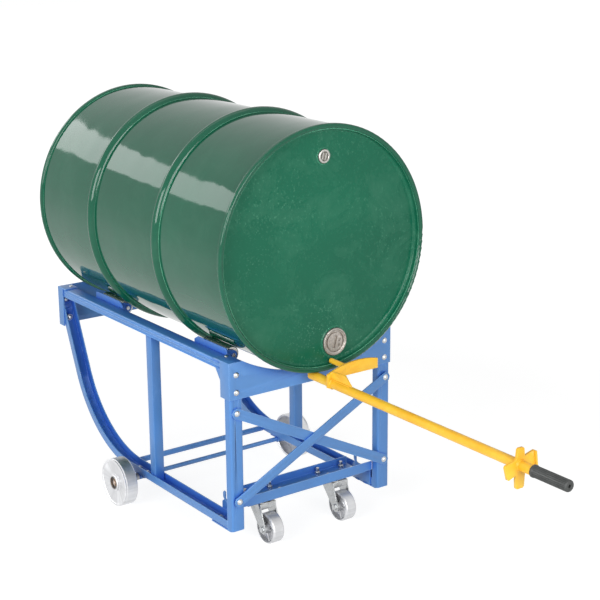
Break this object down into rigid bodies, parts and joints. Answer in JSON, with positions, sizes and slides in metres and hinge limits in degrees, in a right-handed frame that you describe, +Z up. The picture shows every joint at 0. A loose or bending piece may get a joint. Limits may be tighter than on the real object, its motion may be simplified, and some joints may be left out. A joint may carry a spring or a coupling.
{
  "type": "rotating drum cart",
  "caption": "Blue channel-steel cradle on wheels and swivel casters that carries a steel drum on its side on rollers, with a lever hooked on the chime to turn or tip it.",
  "frame": {"origin": "on the floor, directly below the middle of the drum", "axes": "+X to the end with the drum's bungs, the casters and the lever, +Y to the left, +Z up"},
  "size_m": [1.721, 0.607, 1.0277],
  "materials": {
    "frame_blue": "satin powder coat, medium blue",
    "bracket_blue": "satin powder coat, darker blue",
    "axle_steel": "painted bar with bare, lightly rusted ends",
    "spacer_steel": "plain steel",
    "bolt_zinc": "bright zinc plate",
    "pin_zinc": "bright zinc plate",
    "caster_zinc": "zinc plate with a light yellow cast",
    "caster_wheel": "semi-steel, machined tread",
    "wheel_iron": "bare turned metal, solid disc",
    "bush_dark": "dark, greasy bush",
    "roller_steel": "bare turned steel",
    "drum_green": "high gloss enamel, dark green",
    "bung_brown": "dull grey-brown bare metal",
    "bung_zinc": "zinc plate",
    "lever_yellow": "gloss yellow paint",
    "grip_dark": "matt ribbed rubber"
  },
  "bodies": {
    "frame": {"rocker_left": "frame_blue", "rocker_right": "frame_blue", "top_rail_left": "frame_blue", "top_rail_right": "frame_blue", "front_post_left": "frame_blue", "front_post_right": "frame_blue", "strut_left": "frame_blue", "strut_right": "frame_blue", "gussets": "frame_blue", "front_cradle": "frame_blue", "rear_cradle": "frame_blue", "brace_bar_back": "frame_blue", "brace_bar_front": "frame_blue", "caster_pan": "frame_blue", "pan_ends": "frame_blue", "foot_plates": "frame_blue", "rear_tie": "frame_blue", "rear_axle": "axle_steel", "axle_clamps": "frame_blue", "axle_spacers": "spacer_steel", "axle_retainers": "spacer_steel", "roller_bracket_front_left": "bracket_blue", "roller_bracket_front_right": "bracket_blue", "roller_bracket_rear_left": "bracket_blue", "roller_bracket_rear_right": "bracket_blue", "roller_pins": "pin_zinc", "cradle_bolts": "bolt_zinc", "rear_wedges": "bolt_zinc", "brace_bolts": "bolt_zinc", "base_bolts": "bolt_zinc", "caster_plate_left": "caster_zinc", "caster_plate_right": "caster_zinc", "king_pins": "pin_zinc"},
    "caster_left": {"caster_fork_left": "caster_zinc", "caster_axle_left": "pin_zinc"},
    "caster_right": {"caster_fork_right": "caster_zinc", "caster_axle_right": "pin_zinc"},
    "caster_roller_left": {"caster_wheel_left": "caster_wheel"},
    "caster_roller_right": {"caster_wheel_right": "caster_wheel"},
    "rear_wheel_left": {"rear_wheel_left": "wheel_iron", "wheel_bush_left": "bush_dark"},
    "rear_wheel_right": {"rear_wheel_right": "wheel_iron", "wheel_bush_right": "bush_dark"},
    "cradle_roller_front_left": {"roller_front_left": "roller_steel"},
    "cradle_roller_front_right": {"roller_front_right": "roller_steel"},
    "cradle_roller_rear_left": {"roller_rear_left": "roller_steel"},
    "cradle_roller_rear_right": {"roller_rear_right": "roller_steel"},
    "drum": {"drum_shell": "drum_green", "drum_front_head": "drum_green", "drum_rear_head": "drum_green", "large_bung_plug": "bung_brown", "small_bung_plug": "bung_zinc"},
    "lever": {"lever_tube": "lever_yellow", "lever_saddle": "lever_yellow", "lever_hook": "lever_yellow", "lever_star": "lever_yellow", "lever_grip": "grip_dark"}
  },
  "joints": [
    {"name": "caster_swivel_left", "type": "hinge", "parent": "frame", "child": "caster_left", "pos_m": [0.3225, 0.11, 0.088], "axis": [0, 0, 1], "continuous": true},
    {"name": "caster_spin_left", "type": "hinge", "parent": "caster_left", "child": "caster_roller_left", "pos_m": [0.3545, 0.11, 0.038], "axis": [0, 1, 0], "continuous": true},
    {"name": "rear_wheel_spin_left", "type": "hinge", "parent": "frame", "child": "rear_wheel_left", "pos_m": [-0.066, 0.26, 0.062], "axis": [0, 1, 0], "continuous": true},
    {"name": "caster_swivel_right", "type": "hinge", "parent": "frame", "child": "caster_right", "pos_m": [0.3225, -0.11, 0.088], "axis": [0, 0, 1], "continuous": true},
    {"name": "caster_spin_right", "type": "hinge", "parent": "caster_right", "child": "caster_roller_right", "pos_m": [0.3545, -0.11, 0.038], "axis": [0, 1, 0], "continuous": true},
    {"name": "rear_wheel_spin_right", "type": "hinge", "parent": "frame", "child": "rear_wheel_right", "pos_m": [-0.066, -0.2895, 0.062], "axis": [0, 1, 0], "continuous": true},
    {"name": "drum_turn", "type": "hinge", "parent": "frame", "child": "drum", "pos_m": [0, 0, 0.72921], "axis": [1, 0, 0], "continuous": true},
    {"name": "roller_spin_front_left", "type": "hinge", "parent": "frame", "child": "cradle_roller_front_left", "pos_m": [0.25, 0.177, 0.478], "axis": [1, 0, 0], "continuous": true},
    {"name": "roller_spin_front_right", "type": "hinge", "parent": "frame", "child": "cradle_roller_front_right", "pos_m": [0.25, -0.177, 0.478], "axis": [1, 0, 0], "continuous": true},
    {"name": "roller_spin_rear_left", "type": "hinge", "parent": "frame", "child": "cradle_roller_rear_left", "pos_m": [-0.25, 0.177, 0.478], "axis": [1, 0, 0], "continuous": true},
    {"name": "roller_spin_rear_right", "type": "hinge", "parent": "frame", "child": "cradle_roller_rear_right", "pos_m": [-0.25, -0.177, 0.478], "axis": [1, 0, 0], "continuous": true},
    {"name": "lever_unhook", "type": "slide", "parent": "drum", "child": "lever", "axis": [1, 0, 0], "range_m": [0, 0.12]}
  ],
  "couplings": [
    {"joint": "roller_spin_front_left", "follows": "drum_turn", "ratio": -14.35},
    {"joint": "roller_spin_front_right", "follows": "drum_turn", "ratio": -14.35},
    {"joint": "roller_spin_rear_left", "follows": "drum_turn", "ratio": -14.35},
    {"joint": "roller_spin_rear_right", "follows": "drum_turn", "ratio": -14.35}
  ]
}
